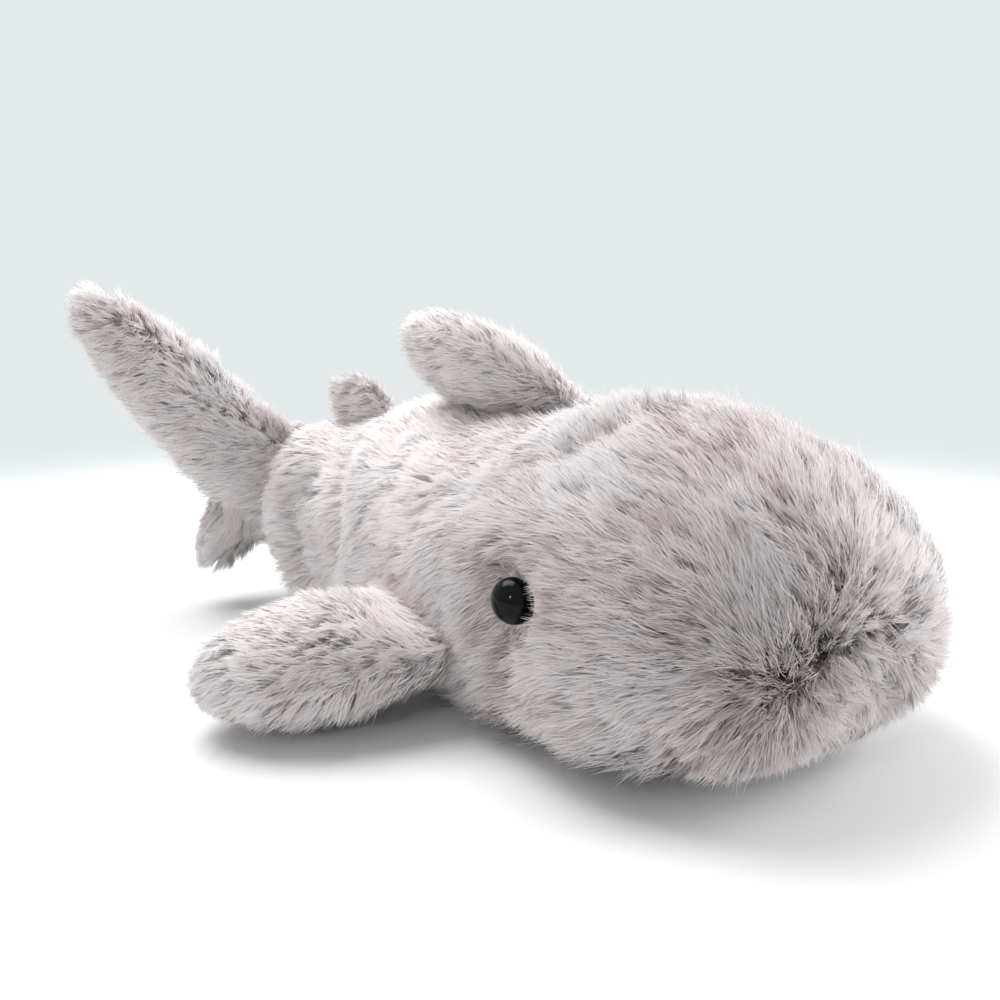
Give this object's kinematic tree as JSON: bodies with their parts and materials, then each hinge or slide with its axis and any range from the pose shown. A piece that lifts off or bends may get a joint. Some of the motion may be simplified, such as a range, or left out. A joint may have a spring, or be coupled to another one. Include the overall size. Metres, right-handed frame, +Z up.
{
  "type": "hand puppet",
  "caption": "Plush shark hand puppet with a furry stuffed head, a jaw worked by the thumb, stuffed fins and tail, and a cloth sleeve for the hand.",
  "frame": {"origin": "under the middle of the whole toy, on the surface that its belly rests on", "axes": "-Y towards the snout, +X to the shark's left, +Z up"},
  "size_m": [0.2984, 0.326, 0.147],
  "materials": {
    "long_pile_plush": "long-pile fur, pale warm lavender grey with whiter tips and mauve-brown roots",
    "stuffing": "polyester fibre filling",
    "lining_cloth": "smooth knitted lining",
    "eye_plastic": "polished black",
    "washer_plastic": "natural white"
  },
  "bodies": {
    "torso": {"back_panel": "long_pile_plush", "belly_panel": "long_pile_plush", "hand_sleeve": "lining_cloth", "opening_hem": "lining_cloth"},
    "head": {"head_panel_left": "long_pile_plush", "head_panel_right": "long_pile_plush", "head_filling": "stuffing", "finger_pocket": "lining_cloth", "palate_lining": "lining_cloth", "eye_left": "eye_plastic", "eye_right": "eye_plastic", "eye_washer_left": "washer_plastic", "eye_washer_right": "washer_plastic"},
    "jaw": {"chin_panel": "long_pile_plush", "jaw_filling": "stuffing", "thumb_pocket": "lining_cloth", "tongue_lining": "lining_cloth"},
    "pectoral_left": {"pectoral_left_upper": "long_pile_plush", "pectoral_left_lower": "long_pile_plush", "pectoral_left_filling": "stuffing"},
    "pectoral_right": {"pectoral_right_upper": "long_pile_plush", "pectoral_right_lower": "long_pile_plush", "pectoral_right_filling": "stuffing"},
    "dorsal": {"dorsal_left": "long_pile_plush", "dorsal_right": "long_pile_plush", "dorsal_filling": "stuffing"},
    "second_dorsal": {"second_dorsal_left": "long_pile_plush", "second_dorsal_right": "long_pile_plush", "second_dorsal_filling": "stuffing"},
    "tail": {"tail_left": "long_pile_plush", "tail_right": "long_pile_plush", "tail_filling": "stuffing"}
  },
  "joints": [
    {"name": "neck_nod", "type": "hinge", "parent": "torso", "child": "head", "pos_m": [0, -0.00501, 0.046], "axis": [-1, 0, 0], "range_deg": [0, 20]},
    {"name": "jaw_open", "type": "hinge", "parent": "head", "child": "jaw", "pos_m": [0, -0.07701, 0.034], "axis": [1, 0, 0], "range_deg": [0, 28]},
    {"name": "pectoral_left_lift", "type": "hinge", "parent": "torso", "child": "pectoral_left", "pos_m": [0.07079, -0.01801, 0.026], "axis": [0, -1, 0], "range_deg": [0, 55]},
    {"name": "pectoral_right_lift", "type": "hinge", "parent": "torso", "child": "pectoral_right", "pos_m": [-0.07079, -0.01801, 0.026], "axis": [0, 1, 0], "range_deg": [0, 55]},
    {"name": "dorsal_flop", "type": "hinge", "parent": "torso", "child": "dorsal", "pos_m": [-0.00016, 0.00299, 0.10155], "axis": [-0.0412, 0.9992, 0], "range_deg": [-12, 80], "stiffness_Nm_per_rad": 0.02},
    {"name": "second_dorsal_flop", "type": "hinge", "parent": "torso", "child": "second_dorsal", "pos_m": [-0.02717, 0.0941, 0.08645], "axis": [-0.51, 0.8601, 0], "range_deg": [-40, 60], "stiffness_Nm_per_rad": 0.004},
    {"name": "tail_sway", "type": "hinge", "parent": "torso", "child": "tail", "pos_m": [-0.04829, 0.12319, 0.062], "axis": [0, 0, 1], "range_deg": [-50, 20], "stiffness_Nm_per_rad": 0.03}
  ]
}
